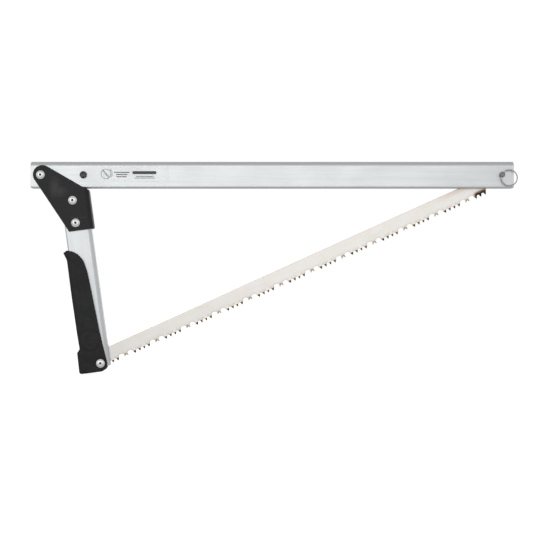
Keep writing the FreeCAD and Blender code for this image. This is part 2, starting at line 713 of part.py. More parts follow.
def build_saw():
    half = SIZES["channel_width"] / 2
    inner = "@channel_width / 2 - @channel_wall"
    beside_blade = "@blade_thickness / 2 + @spacer_gap"

    keep("spine_channel", make_spine(), spine_frame())
    keep("spine_label", make_label(), spine_frame(
        SIZES["label_left"], -half - SIZES["label_thickness"], SIZES["label_low"]))
    keep("screw_insert", make_insert(), spine_frame(SIZES["screw_x"]))
    keep("blade_screw", make_screw(), spine_frame(SIZES["screw_x"]))
    keep("pivot_sleeve", add_tube("pivot_sleeve", "@sleeve_radius", "@shank_hole",
                                  f"-({inner})", inner), spine_frame())

    keep("arm_channel", make_arm(), arm_frame())
    keep("arm_bracket", make_bracket(), arm_frame())
    make_bracket_fixings()
    bracket_face = "@channel_width / 2 + @plate_gap + @plate"
    make_through_rivet("pivot", 0, 0, bracket_face)
    foot = (SIZES["foot_rivet_x"], -SIZES["foot_rivet_z"])
    make_through_rivet("handle", *foot, "@handle_half")
    make_washers([(0, 0, bracket_face), (*foot, "@handle_half")])
    keep("handle_grip", make_handle(), arm_frame())

    keep("blade", make_blade(), blade_frame())
    keep("blade_pin", make_pin(), ring_frame())
    keep("split_ring", make_ring(), ring_frame())
    for name, radius, hole, frame in (
            ("pin_spacers", "@spacer_radius", "@pin_hole", blade_frame()),
            ("rivet_spacers", "@sleeve_radius", "@shank_hole", arm_frame())):
        pair = [add_tube(name + "_front", radius, hole, f"-({inner})", f"-({beside_blade})"),
                add_tube(name + "_rear", radius, hole, beside_blade, inner)]
        if name == "rivet_spacers":
            for tube in pair:
                tube.Placement.Base = vector(foot[0], 0, foot[1])
        keep(name, group_of(name + "_pair", pair), frame)


def check_and_write():
    doc.recompute()
    for thing in doc.Objects:
        if "Invalid" in thing.State or "Error" in thing.State:
            raise RuntimeError(f"{thing.Name} has state {thing.State}")
    bounds = FreeCAD.BoundBox()
    for name, thing in nodes.items():
        shape = thing.Shape
        if shape.isNull() or not shape.isValid() or not shape.Solids:
            raise RuntimeError(name + " has no valid shape")
        bounds.add(shape.BoundBox)
        print(f"{name:18s} solids {len(shape.Solids)}  volume {shape.Volume:10.1f} mm3")
    print("whole saw", bounds)
    os.makedirs("parts", exist_ok=True)
    for name, thing in nodes.items():
        thing.Shape.exportStep(f"parts/{name}.step")


build_saw()
check_and_write()
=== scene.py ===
import json
import math

import bmesh
import bpy
from mathutils import Matrix, Vector, geometry


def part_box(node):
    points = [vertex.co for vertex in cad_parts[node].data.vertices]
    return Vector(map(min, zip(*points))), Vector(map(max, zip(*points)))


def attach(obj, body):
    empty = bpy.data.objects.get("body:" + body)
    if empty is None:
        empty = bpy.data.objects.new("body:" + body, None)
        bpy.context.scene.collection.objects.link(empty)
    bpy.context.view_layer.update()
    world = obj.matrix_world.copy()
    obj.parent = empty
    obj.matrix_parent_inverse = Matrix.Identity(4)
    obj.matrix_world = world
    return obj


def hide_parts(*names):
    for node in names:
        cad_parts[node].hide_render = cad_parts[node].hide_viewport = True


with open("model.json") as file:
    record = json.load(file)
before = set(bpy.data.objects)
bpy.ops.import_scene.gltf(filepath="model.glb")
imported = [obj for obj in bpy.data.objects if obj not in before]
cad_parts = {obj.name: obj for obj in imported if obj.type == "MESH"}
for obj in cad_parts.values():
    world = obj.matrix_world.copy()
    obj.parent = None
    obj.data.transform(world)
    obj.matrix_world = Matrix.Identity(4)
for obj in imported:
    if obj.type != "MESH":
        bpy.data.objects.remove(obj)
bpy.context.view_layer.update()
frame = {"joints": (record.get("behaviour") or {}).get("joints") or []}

# Folding camp saw: drawn channel back, channel arm with a moulded grip, black bracket, raker blade.
# Lengths of pieces are millimetres, in the frame of the group that the piece belongs to.
# Lengths in materials, camera and lights are metres.

lean = {"arm": -7.7, "blade": -24.3, "ring": 24.8}  # degrees about Y at rest
joints = {joint["name"]: Vector(joint["pos_m"]) for joint in frame["joints"]}
toMetres = Matrix.Scale(0.001, 4)


# Sizes and places that several pieces share
channel = {"half": 8.0, "deep": 32.0, "wall": 1.5, "crown": 6.0, "lip": 3.6, "mouth": 3.5, "edge": 0.4}
plate = {"inside": 8.3, "outside": 10.7}  # the bracket's two plates, from the middle
gripHalf = 12.4
shank = {"hole": 2.45, "shell": 2.4}  # radii at the blind rivets
washerThick = 1.0
pinHole = 3.27
pinX, screwX = 553.2, 51.2
bracketSpots = [(34.0, -35.5), (34.0, -62.8)]
footSpot = (41.2, -233.7)


def at(x, z, y=0.0):
    return Matrix.Translation((x * 0.001, y * 0.001, z * 0.001))


def turned(axis, degrees):
    return Matrix.Rotation(math.radians(degrees), 4, axis)


spineFrame = Matrix.Translation(joints["arm_fold"])
armFrame = spineFrame @ turned("Y", lean["arm"])
bladeFrame = Matrix.Translation(joints["blade_swing"]) @ turned("Y", lean["blade"])
ringFrame = Matrix.Translation(joints["blade_swing"]) @ turned("Y", lean["ring"])


# Node helpers

def addNode(tree, kind, values=None, **settings):
    node = tree.nodes.new(kind)
    for name, value in settings.items():
        setattr(node, name, value)
    for name, value in (values or {}).items():
        node.inputs[name].default_value = value
    return node


def joinSockets(tree, *pairs):
    for start, end in pairs:
        tree.links.new(start, end)


def feed(tree, socket, value):
    # gives a socket a fixed value or a link
    if isinstance(value, (int, float, tuple)):
        socket.default_value = value
    else:
        tree.links.new(value, socket)


def calculate(tree, operation, first, second, clamp=False):
    node = addNode(tree, "ShaderNodeMath", operation=operation, use_clamp=clamp)
    feed(tree, node.inputs[0], first)
    feed(tree, node.inputs[1], second)
    return node.outputs[0]


def spread(tree, value, low, high, newLow=0.0, newHigh=1.0):
    # maps low..high to newLow..newHigh
    node = addNode(tree, "ShaderNodeMapRange", {1: low, 2: high, 3: newLow, 4: newHigh})
    tree.links.new(value, node.inputs[0])
    return node.outputs[0]


def mixColours(tree, factor, first, second):
    node = addNode(tree, "ShaderNodeMix", data_type="RGBA")
    for index, value in ((0, factor), (6, first), (7, second)):
        feed(tree, node.inputs[index], value)
    return node.outputs[2]


def layColours(tree, colour, *layers):
    # lays colours over one another, each by its mask; a third value is how much of it shows
    for mask, above, *share in layers:
        shown = calculate(tree, "MULTIPLY", mask, share[0]) if share else mask
        colour = mixColours(tree, shown, colour, above)
    return colour


def newGroup(name, inputs, outputs):
    group = bpy.data.node_groups.new(name, "ShaderNodeTree")
    for label, value in (("Vector", None), *inputs):
        kind = "NodeSocketVector" if value is None else "NodeSocketFloat"
        socket = group.interface.new_socket(name=label, in_out="INPUT", socket_type=kind)
        if value is not None:
            socket.default_value = value
    for label in outputs:
        group.interface.new_socket(name=label, in_out="OUTPUT", socket_type="NodeSocketFloat")
    start = group.nodes.new("NodeGroupInput")
    end = group.nodes.new("NodeGroupOutput")
    return group, start.outputs, end.inputs


def addNoise(tree, along, scale, **values):
    noise = addNode(tree, "ShaderNodeTexNoise", values)
    tree.links.new(along, noise.inputs["Vector"])
    feed(tree, noise.inputs["Scale"], scale)
    return noise.outputs[0]


def makeDrawnGrain():
    # fine lines left by drawing or rolling, long in X
    group, given, result = newGroup("drawnGrain", [("Lines per metre", 2600.0), ("Stretch", 0.012)],
                                    ["Height", "Tone"])
    stretch = addNode(group, "ShaderNodeCombineXYZ", {"Y": 1.0, "Z": 1.0})
    stretched = addNode(group, "ShaderNodeVectorMath", operation="MULTIPLY")
    joinSockets(group, (given["Stretch"], stretch.inputs["X"]), (given["Vector"], stretched.inputs[0]),
                (stretch.outputs[0], stretched.inputs[1]))
    lines = given["Lines per metre"]
    broadLines = calculate(group, "MULTIPLY", lines, 0.13)
    fine = addNoise(group, stretched.outputs[0], lines, Detail=3.0, Roughness=0.7)
    broad = addNoise(group, stretched.outputs[0], broadLines, Detail=2.0, Roughness=0.5)
    joinSockets(group, (fine, result["Height"]), (spread(group, broad, 0.3, 0.7), result["Tone"]))
    return group


def makePebble():
    # small rounded lumps: powder coat or a spark-eroded mould
    group, given, result = newGroup("pebble", [("Size", 0.0006)], ["Height", "Tone"])
    scale = calculate(group, "DIVIDE", 1.0, given["Size"])
    cells = addNode(group, "ShaderNodeTexVoronoi", {"Randomness": 1.0}, feature="SMOOTH_F1")
    joinSockets(group, (given["Vector"], cells.inputs["Vector"]), (scale, cells.inputs["Scale"]))
    cloudScale = calculate(group, "MULTIPLY", scale, 0.11)
    cloud = addNoise(group, given["Vector"], cloudScale, Detail=4.0, Roughness=0.62)
    height = calculate(group, "SUBTRACT", 1.0, cells.outputs["Distance"])
    joinSockets(group, (height, result["Height"]), (spread(group, cloud, 0.3, 0.7), result["Tone"]))
    return group


def makeEdgeWear():
    # white where an outside edge is rubbed
    group, given, result = newGroup("edgeWear", [
        ("Width", 0.0006), ("Patch size", 0.006), ("Amount", 0.5)], ["Mask"])
    bevel = addNode(group, "ShaderNodeBevel", samples=4)
    surface = addNode(group, "ShaderNodeNewGeometry")
    align = addNode(group, "ShaderNodeVectorMath", operation="DOT_PRODUCT")
    joinSockets(group, (given["Width"], bevel.inputs["Radius"]), (bevel.outputs[0], align.inputs[0]),
                (surface.outputs["Normal"], align.inputs[1]))
    patchScale = calculate(group, "DIVIDE", 1.0, given["Patch size"])
    patches = addNoise(group, given["Vector"], patchScale, Detail=5.0, Roughness=0.65)
    edge = spread(group, align.outputs["Value"], 0.995, 0.86)
    broken = spread(group, patches, 0.38, 0.62)
    paler = calculate(group, "MULTIPLY", edge, broken)
    worn = calculate(group, "MULTIPLY", paler, given["Amount"], clamp=True)
    joinSockets(group, (worn, result["Mask"]))
    return group


def makeScratches():
    # sparse hairlines at many angles, and the haze of handling between them
    group, given, result = newGroup("scratches", [("Length", 0.02), ("Amount", 0.5)], ["Mask", "Haze"])
    scale = calculate(group, "DIVIDE", 1.0, given["Length"])
    lineScale = calculate(group, "MULTIPLY", scale, 22.0)
    lines = None
    for turn, squeeze in ((0.35, 0.03), (-0.5, 0.045), (1.25, 0.03)):  # three families of lines
        place = addNode(group, "ShaderNodeMapping",
                        {"Rotation": (0.0, turn, 0.0), "Scale": (squeeze, 1.0, 1.0)})
        group.links.new(given["Vector"], place.inputs["Vector"])
        streak = addNoise(group, place.outputs[0], lineScale, Detail=1.0, Distortion=0.15)
        line = spread(group, streak, 0.735, 0.765)
        lines = line if lines is None else calculate(group, "MAXIMUM", lines, line)
    haze = addNoise(group, given["Vector"], scale, Detail=3.0, Roughness=0.55)
    joinSockets(group, (calculate(group, "MULTIPLY", lines, given["Amount"]), result["Mask"]),
                (spread(group, haze, 0.35, 0.7), result["Haze"]))
    return group


drawnGrain = makeDrawnGrain()
pebble = makePebble()
edgeWear = makeEdgeWear()
scratches = makeScratches()
print("shared surface effects made")


# Materials

def emptyTree(owner, output):
    # the owner's node tree with nothing in it but its output
    owner.use_nodes = True
    tree = owner.node_tree
    tree.nodes.clear()
    return tree, addNode(tree, output).inputs[0]


def newMaterial(name, turn=0.0, **values):
    # a Principled material; its coordinates are the row frame, turned so that X runs along the piece
    material = bpy.data.materials.new(name)
    tree, output = emptyTree(material, "ShaderNodeOutputMaterial")
    shader = addNode(tree, "ShaderNodeBsdfPrincipled",
                     {socket.replace("_", " "): value for socket, value in values.items()})
    place = addNode(tree, "ShaderNodeTexCoord")
    mapping = addNode(tree, "ShaderNodeMapping", {"Rotation": (0.0, math.radians(turn), 0.0)})
    joinSockets(tree, (shader.outputs[0], output), (place.outputs["Object"], mapping.inputs["Vector"]))
    return material, tree, shader.inputs, mapping.outputs[0]


def useGroup(tree, group, along, **values):
    node = addNode(tree, "ShaderNodeGroup", node_tree=group)
    for name, value in values.items():
        node.inputs[name.replace("_", " ")].default_value = value
    tree.links.new(along, node.inputs["Vector"])
    return node.outputs


def dress(tree, shader, colour, rough, height, strength, distance):
    # links the colour, the roughness and the bumps
    bump = addNode(tree, "ShaderNodeBump", {"Strength": strength, "Distance": distance})
    joinSockets(tree, (colour, shader["Base Color"]), (rough, shader["Roughness"]),
                (height, bump.inputs["Height"]), (bump.outputs[0], shader["Normal"]))


def grey(level, tint=(1.0, 1.0, 1.0)):
    return (*(level * part for part in tint), 1.0)


def scaled(colour, factor):
    return (*(min(1.0, part * factor) for part in colour[:3]), 1.0)


def makeAluminium(name, turn):
    cool = (0.965, 0.99, 1.0)
    look = {"bright": grey(0.78, cool), "dull": grey(0.73, cool), "paler": grey(0.93), "scored": grey(0.6),
            "shown": 0.35, "rough": (0.31, 0.41), "hazeRough": 0.05}
    material, tree, shader, along = newMaterial(name, turn, Metallic=1.0, Specular_IOR_Level=0.5)
    grain = useGroup(tree, drawnGrain, along, Lines_per_metre=2400.0, Stretch=0.01)
    marks = useGroup(tree, scratches, along, Length=0.05, Amount=0.5)
    wear = useGroup(tree, edgeWear, along, Width=0.0004, Patch_size=0.008, Amount=0.6)
    colour = layColours(tree, look["dull"], (grain["Tone"], look["bright"]),
                        (marks["Haze"], look["dull"], look["shown"]), (wear["Mask"], look["paler"]),
                        (marks["Mask"], look["scored"], look["shown"]))
    rough = spread(tree, grain["Height"], 0.25, 0.75, *look["rough"])
    hazy = calculate(tree, "ADD", rough, calculate(tree, "MULTIPLY", marks["Haze"], look["hazeRough"]))
    height = calculate(tree, "SUBTRACT", grain["Height"], marks["Mask"])
    dress(tree, shader, colour, hazy, height, 0.07, 0.00003)
    return material


def makeBlackCoat():
    cool = (0.97, 1.0, 1.03)
    look = {"coat": grey(0.010, (0.98, 1.0, 1.03)), "pale": grey(0.016, cool), "paintedSheen": grey(0.085, cool),
            "paler": grey(0.12), "scored": grey(0.1), "rough": (0.44, 0.56)}
    # painted sheen: soft paler spots on the plate near the pivot, the middle and the reach of each
    spots = (((-0.2625, 0.0, 0.2245), (0.006, 0.02, 0.011)), ((-0.2560, 0.0, 0.2190), (0.008, 0.02, 0.006)))
    material, tree, shader, along = newMaterial("powderCoat", Metallic=0.0, Specular_IOR_Level=0.36)
    lumps = useGroup(tree, pebble, along, Size=0.00045)
    wear = useGroup(tree, edgeWear, along, Width=0.0007, Patch_size=0.007, Amount=0.55)
    marks = useGroup(tree, scratches, along, Length=0.03, Amount=0.4)
    paler = None
    for middle, reach in spots:
        spot = addNode(tree, "ShaderNodeMapping", {"Location": middle, "Scale": reach},
                       vector_type="TEXTURE")
        far = addNode(tree, "ShaderNodeVectorMath", operation="LENGTH")
        joinSockets(tree, (along, spot.inputs["Vector"]), (spot.outputs[0], far.inputs[0]))
        mark = spread(tree, far.outputs["Value"], 1.5, 0.2)
        paler = mark if paler is None else calculate(tree, "MAXIMUM", paler, mark)
    # the painted sheen, mottled by the handling haze
    paler = calculate(tree, "MULTIPLY", paler, spread(tree, marks["Haze"], 0.1, 0.9, 0.35, 0.75))
    # coat, pebble tone, painted sheen, worn edges and scratches
    colour = layColours(tree, look["coat"], (lumps["Tone"], look["pale"]), (paler, look["paintedSheen"]),
                        (wear["Mask"], look["paler"]), (marks["Mask"], look["scored"]))
    rough = spread(tree, lumps["Tone"], 0.0, 1.0, *look["rough"])
    dress(tree, shader, colour, rough, lumps["Height"], 0.22, 0.00006)
    return material


def makeMoulding():
    look = {"deep": grey(0.008, (0.97, 1.0, 1.03)), "pale": grey(0.015, (0.98, 1.0, 1.02)),
            "paler": grey(0.075), "scored": grey(0.07), "rough": (0.46, 0.62)}
    material, tree, shader, along = newMaterial("mouldedGrip", -lean["arm"], Metallic=0.0,
                                                Specular_IOR_Level=0.34)
    lumps = useGroup(tree, pebble, along, Size=0.0007)
    wear = useGroup(tree, edgeWear, along, Width=0.0012, Patch_size=0.01, Amount=0.45)
    marks = useGroup(tree, scratches, along, Length=0.02, Amount=0.35)
    colour = layColours(tree, look["deep"], (lumps["Tone"], look["pale"]), (wear["Mask"], look["paler"]),
                        (marks["Mask"], look["scored"]))
    rough = spread(tree, marks["Haze"], 0.0, 1.0, *look["rough"])
    dress(tree, shader, colour, rough, lumps["Height"], 0.4, 0.00012)
    return material


def makeBladeSteel():
    look = {"steel": grey(0.93, (1.0, 0.98, 0.945)), "warm": grey(0.89, (1.0, 0.96, 0.9)),
            "straw": (0.56, 0.37, 0.2, 1.0), "blue": (0.010, 0.014, 0.035, 1.0),
            "lilac": (0.05, 0.042, 0.075, 1.0), "scored": grey(0.5), "scratchShown": 0.3, "stainShown": 0.8,
            "strawZone": (0.18, 0.5), "blueZone": (0.42, 0.72), "rough": (0.33, 0.38), "metal": (0.75, 0.5)}
    material, tree, shader, along = newMaterial("bladeSteel", -lean["blade"], Specular_IOR_Level=0.5)
    grain = useGroup(tree, drawnGrain, along, Lines_per_metre=3200.0, Stretch=0.02)
    marks = useGroup(tree, scratches, along, Length=0.03, Amount=0.6)
    patches = addNoise(tree, along, 260.0, Detail=4.0, Roughness=0.6)
    tempering, raker, stain = (addNode(tree, "ShaderNodeAttribute", attribute_name=name).outputs["Fac"]
                               for name in ("tempering", "raker", "stain"))
    uneven = spread(tree, patches, 0.3, 0.7, -0.16, 0.16)
    stainCore = calculate(tree, "MULTIPLY", stain, look["stainShown"])
    stained = calculate(tree, "ADD", stainCore, calculate(tree, "MULTIPLY", uneven, stain))
    reached = calculate(tree, "ADD", tempering, calculate(tree, "MULTIPLY", uneven, tempering))
    tip = mixColours(tree, raker, look["blue"], look["lilac"])
    colour = layColours(tree, look["steel"], (marks["Haze"], look["warm"]),
                        (calculate(tree, "MAXIMUM", stained, 0.0, clamp=True), look["straw"]),
                        (spread(tree, reached, *look["strawZone"]), look["straw"]),
                        (spread(tree, reached, *look["blueZone"]), tip),
                        (marks["Mask"], look["scored"], look["scratchShown"]))
    rough = spread(tree, grain["Height"], 0.25, 0.75, *look["rough"])
    tree.links.new(spread(tree, reached, 0.3, 0.8, *look["metal"]), shader["Metallic"])
    dress(tree, shader, colour, rough, grain["Height"], 0.04, 0.00002)
    return material


def makePlainMetal(name, colour, dull, roughness, grain, coat=0.0):
    # turned or plated metal: two tones, a fine spun grain and rubbed edges
    material, tree, shader, along = newMaterial(name, Metallic=1.0, Coat_Weight=coat)
    spun = useGroup(tree, drawnGrain, along, Lines_per_metre=grain, Stretch=0.6)
    wear = useGroup(tree, edgeWear, along, Width=0.0003, Patch_size=0.003, Amount=0.5)
    worn = layColours(tree, dull, (spun["Tone"], colour), (wear["Mask"], scaled(colour, 1.15)))
    rough = spread(tree, spun["Height"], 0.25, 0.75, roughness * 0.8, roughness * 1.2)
    dress(tree, shader, worn, rough, spun["Height"], 0.1, 0.00002)
    return material


def makePlainPlastic(name, colour, roughness, alpha=1.0):
    material, tree, shader, along = newMaterial(name, Metallic=0.0, Alpha=alpha, Specular_IOR_Level=0.5)
    lumps = useGroup(tree, pebble, along, Size=0.0008)
    mottled = mixColours(tree, lumps["Tone"], scaled(colour, 0.86), colour)
    rough = spread(tree, lumps["Tone"], 0.0, 1.0, roughness * 0.85, roughness * 1.15)
    dress(tree, shader, mottled, rough, lumps["Height"], 0.1, 0.00004)
    return material


coolTint = (0.98, 0.98, 1.03)
materials = {material.name: material for material in (
    makeAluminium("spineAluminium", 0.0),
    makeAluminium("armAluminium", 90.0 - lean["arm"]),
    makeBlackCoat(),
    makeMoulding(),
    makeBladeSteel(),
    makePlainMetal("rivetAluminium", grey(0.97), grey(0.93), 0.3, 1800.0),
    makePlainMetal("stemSteel", grey(0.16), grey(0.1), 0.42, 1800.0),
    makePlainMetal("nickel", grey(0.5, coolTint), grey(0.36, coolTint), 0.18, 1500.0),
    makePlainMetal("pinSteel", grey(0.26), grey(0.17), 0.3, 1500.0),
    makePlainMetal("blackOxide", grey(0.08), grey(0.035), 0.26, 1500.0, 0.15),
    makePlainPlastic("nylon", (0.78, 0.75, 0.66, 1.0), 0.5),
    makePlainPlastic("labelFilm", (0.9, 0.92, 0.93, 1.0), 0.25, 0.02),
    makePlainPlastic("printInk", (0.08, 0.085, 0.09, 1.0), 0.5),
    makePlainPlastic("paleInk", (0.12, 0.125, 0.13, 1.0), 0.5),
)}
print("materials made:", len(materials))


# Mesh helpers. Each body's pieces are made in one frame.

def newObject(name, mesh, place):
    # an object from a bmesh in millimetres
    bmesh.ops.recalc_face_normals(mesh, faces=mesh.faces)
    mesh.transform(place @ toMetres)
    data = bpy.data.meshes.new(name)
    mesh.to_mesh(data)
    mesh.free()
    piece = bpy.data.objects.new(name, data)
    bpy.context.scene.collection.objects.link(piece)
    return piece


def smooth(piece, sharpAbove):
    piece.data.shade_smooth()
    piece.data.set_sharp_from_angle(angle=math.radians(sharpAbove))


bodyFrames = {"spine": spineFrame, "arm": armFrame, "blade": bladeFrame, "pin": ringFrame,
              "ring": ringFrame, "screw": spineFrame @ at(screwX, 0)}


def finishPiece(name, mesh, body, material, node=None, sharpAbove=38.0, place=None):
    # makes the object in its body's frame, or in a place of its own, and hangs it on the body
    piece = newObject(name, mesh, place or bodyFrames[body])
    smooth(piece, sharpAbove)
    piece.data.materials.append(materials[material])
    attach(piece, body)
    if node:
        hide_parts(node)
    return piece


def bridge(mesh, near, far, closed=True):
    # faces between two rings of points, or between two open chains
    for index in range(len(near) if closed else len(near) - 1):
        after = (index + 1) % len(near)
        mesh.faces.new((near[index], near[after], far[after], far[index]))


def lathe(mesh, profile, x, z, segments=72, closed=False):
    # turns a profile of (y, radius) about an axis along Y through x, z
    turns = [2 * math.pi * step / segments for step in range(segments)]
    rings = []
    for y, radius in profile:
        if radius < 0.001:
            rings.append([mesh.verts.new((x, y, z))])
            continue
        rings.append([mesh.verts.new((x + radius * math.cos(turn), y, z + radius * math.sin(turn)))
                      for turn in turns])
    pairs = list(zip(rings, rings[1:]))
    if closed:
        pairs.append((rings[-1], rings[0]))
    for near, far in pairs:
        if len(near) == len(far):
            bridge(mesh, near, far)
            continue
        tip, rim = sorted((near, far), key=len)
        for step in range(segments):
            mesh.faces.new((rim[step], rim[(step + 1) % segments], tip[0]))


def addPrism(mesh, outline, near, far):
    # an outline in X and Z, from one depth to another
    sides = [[mesh.verts.new((point.x, y, point.y)) for point in outline] for y in (near, far)]
    for side in sides:
        mesh.faces.new(side)
    bridge(mesh, *sides)


def addBox(mesh, low, high):
    corners = [(low[0], low[2]), (high[0], low[2]), (high[0], high[2]), (low[0], high[2])]
    addPrism(mesh, [Vector(corner) for corner in corners], low[1], high[1])


def arc(centre, radius, start, end, count):
    return [centre + radius * Vector((math.cos(turn), math.sin(turn)))
            for turn in (math.radians(start + (end - start) * step / count) for step in range(count + 1))]


def roundCorner(before, corner, after, radius, steps):
    # the points of an arc that rounds one corner of an outline
    if radius == 0:
        return [corner]
    first = (before - corner).normalized()
    second = (after - corner).normalized()
    half = first.angle(second) / 2
    if math.pi / 2 - half < 0.01:
        return [corner]
    room = 0.48 * min((before - corner).length, (after - corner).length)
    reach = min(radius / math.tan(half), room)
    radius = reach * math.tan(half)
    centre = corner + (first + second).normalized() * (radius / math.sin(half))
    start = corner + first * reach - centre
    sweep = start.angle_signed(corner + second * reach - centre)
    count = max(2, round(steps * abs(sweep) / (math.pi / 2)))
    return [centre + Matrix.Rotation(-sweep * step / count, 2) @ start for step in range(count + 1)]


def roundOutline(corners, steps=8):
    # a closed outline from corners given as (x, z, radius)
    points = [Vector(corner[:2]) for corner in corners]
    outline = []
    for index, corner in enumerate(corners):
        after = points[(index + 1) % len(points)]
        outline += roundCorner(points[index - 1], points[index], after, corner[2], steps)
    return outline


def roundBox(left, low, right, high, radius, steps=8):
    return roundOutline([(left, low, radius), (right, low, radius), (right, high, radius),
                         (left, high, radius)], steps)


def divideOutline(outline, longest):
    # adds points so that no side of the outline is longer than this
    points = []
    for index, start in enumerate(outline):
        end = outline[(index + 1) % len(outline)]
        count = max(1, math.ceil((end - start).length / longest))
        points += [start.lerp(end, step / count) for step in range(count)]
    return points


def netOver(outline, inner, tolerance):
    # a flat net of triangles over an outline; returns its points, its triangles and each point's sources
    count = len(outline)
    edges = [(index, (index + 1) % count) for index in range(count)]
    net = geometry.delaunay_2d_cdt(outline + inner, edges, [], 1, tolerance)
    return net[0], net[2], net[3]


def closeShell(mesh, triangles, near, far):
    # skins both sides of a net and builds the wall between them
    for triangle in triangles:
        mesh.faces.new([near[index] for index in triangle])
        mesh.faces.new([far[index] for index in reversed(triangle)])
    partner = {near[index]: far[index] for index in near}
    rim = [edge for edge in mesh.edges if len(edge.link_faces) == 1 and edge.verts[0] in partner]
    for edge in rim:
        first, second = edge.verts
        mesh.faces.new((first, second, partner[second], partner[first]))


def ease(value, low, high):
    # 0 below low, 1 above high, smooth between
    share = max(0.0, min(1.0, (value - low) / (high - low)))
    return share * share * (3 - 2 * share)


def applyModifiers(piece):
    solid = bpy.data.meshes.new_from_object(piece.evaluated_get(bpy.context.evaluated_depsgraph_get()))
    piece.modifiers.clear()
    piece.data = solid


def cutWith(piece, mesh, place, operation="DIFFERENCE"):
    # combines a piece with a tool for good, and removes the tool
    tool = newObject("tool", mesh, place)
    cut = piece.modifiers.new("cut", "BOOLEAN")
    cut.object = tool
    cut.operation = operation
    cut.solver = "EXACT"
    applyModifiers(piece)
    bpy.data.objects.remove(tool)


def drill(piece, place, radius, depth=15, segments=48):
    # bores along Y, from well in front of the piece to a depth
    mesh = bmesh.new()
    lathe(mesh, [(-15, 0), (-15, radius), (depth, radius), (depth, 0)], 0, 0, segments)
    cutWith(piece, mesh, place)


def breakEdges(piece, width, sharpAbove):
    # rounds the edges that are sharper than this
    mergeBelow, flatBelow = 0.000005, 0.3  # metres, degrees
    mesh = bmesh.new()
    mesh.from_mesh(piece.data)
    bmesh.ops.remove_doubles(mesh, verts=mesh.verts, dist=mergeBelow)
    bmesh.ops.dissolve_limit(mesh, angle_limit=math.radians(flatBelow), verts=mesh.verts, edges=mesh.edges)
    mesh.to_mesh(piece.data)
    mesh.free()
    bevel = piece.modifiers.new("brokenEdges", "BEVEL")
    bevel.width = width * 0.001
    bevel.segments = 3
    bevel.limit_method = "ANGLE"
    bevel.angle_limit = math.radians(sharpAbove)
    bevel.use_clamp_overlap = False
    applyModifiers(piece)


def evenNormals(piece, sharpAbove):
    # keeps flat faces flat and round ones round
    smooth(piece, sharpAbove)
    weighted = piece.modifiers.new("evenNormals", "WEIGHTED_NORMAL")
    weighted.keep_sharp = True
    weighted.weight = 80
    applyModifiers(piece)


# Camera, floor and light

view = {"distance": 1.7767, "lens": 100.0, "sensor": 36.0, "across": -0.0088, "height": 0.1291}
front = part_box("spine_channel")[0].y
cameraData = bpy.data.cameras.new("camera")
cameraData.lens = view["lens"]
cameraData.sensor_width = view["sensor"]
camera = bpy.data.objects.new("camera", cameraData)
camera.location = (view["across"], front - view["distance"], view["height"])
camera.rotation_euler = (math.radians(90.0), 0.0, 0.0)
bpy.context.scene.collection.objects.link(camera)
bpy.context.scene.camera = camera
bpy.context.scene.view_settings.view_transform = "Standard"
bpy.context.scene.view_settings.look = "None"


def makeFloor():
    # as white as the room behind it to the camera, and much dimmer to the saw
    floor = {"half": 6.0, "gap": 0.0004, "paint": 0.3, "glow": 0.93, "bounce": 0.3}
    mesh = bmesh.new()
    half = floor["half"]
    corners = [(-half, -half), (half, -half), (half, half), (-half, half)]
    mesh.faces.new([mesh.verts.new((x, y, -floor["gap"])) for x, y in corners])
    data = bpy.data.meshes.new("floor")
    mesh.to_mesh(data)
    mesh.free()
    material = bpy.data.materials.new("paleFloor")
    tree, output = emptyTree(material, "ShaderNodeOutputMaterial")
    paint = addNode(tree, "ShaderNodeBsdfDiffuse", {"Color": grey(floor["paint"])})
    seen = addNode(tree, "ShaderNodeMixShader")
    for socket, strength in ((1, floor["bounce"]), (2, floor["glow"])):
        glow = addNode(tree, "ShaderNodeEmission", {"Strength": strength})
        both = addNode(tree, "ShaderNodeAddShader")
        joinSockets(tree, (paint.outputs[0], both.inputs[0]), (glow.outputs[0], both.inputs[1]),
                    (both.outputs[0], seen.inputs[socket]))
    rays = addNode(tree, "ShaderNodeLightPath")
    joinSockets(tree, (rays.outputs["Is Camera Ray"], seen.inputs[0]), (seen.outputs[0], output))
    data.materials.append(material)
    piece = bpy.data.objects.new("floor", data)
    bpy.context.scene.collection.objects.link(piece)


def makeWorld():
    # white behind the saw; what it reflects is a grey room that is darker overhead
    room = {"white": 1.0, "side": 0.7, "overhead": 0.5, "steep": (0.1, 0.75)}
    world = bpy.data.worlds.new("studio")
    bpy.context.scene.world = world
    tree, output = emptyTree(world, "ShaderNodeOutputWorld")
    background = addNode(tree, "ShaderNodeBackground")
    rays = addNode(tree, "ShaderNodeLightPath")
    place = addNode(tree, "ShaderNodeTexCoord")
    parts = addNode(tree, "ShaderNodeSeparateXYZ")
    tree.links.new(place.outputs["Generated"], parts.inputs[0])
    level = spread(tree, parts.outputs["Z"], *room["steep"], room["side"], room["overhead"])
    shade = addNode(tree, "ShaderNodeCombineColor")
    joinSockets(tree, *((level, socket) for socket in shade.inputs[:3]))
    seen = mixColours(tree, rays.outputs["Is Camera Ray"], shade.outputs[0], grey(room["white"]))
    joinSockets(tree, (seen, background.inputs["Color"]), (background.outputs[0], output))


def addLight(name, place, target, size, power):
    data = bpy.data.lights.new(name, "AREA")
    data.shape = "RECTANGLE"
    data.size, data.size_y = size
    data.energy = power
    light = bpy.data.objects.new(name, data)
    light.location = place
    light.rotation_euler = (Vector(target) - Vector(place)).to_track_quat("-Z", "Y").to_euler()
    bpy.context.scene.collection.objects.link(light)


makeFloor()
makeWorld()
addLight("frontSoftbox", (-0.55, -2.3, 0.42), (0.0, 0.0, 0.15), (2.6, 1.5), 10.4)
addLight("backSoftbox", (0.6, 2.3, 0.7), (0.0, 0.0, 0.15), (2.4, 1.2), 7.0)
print("camera, floor and light set")


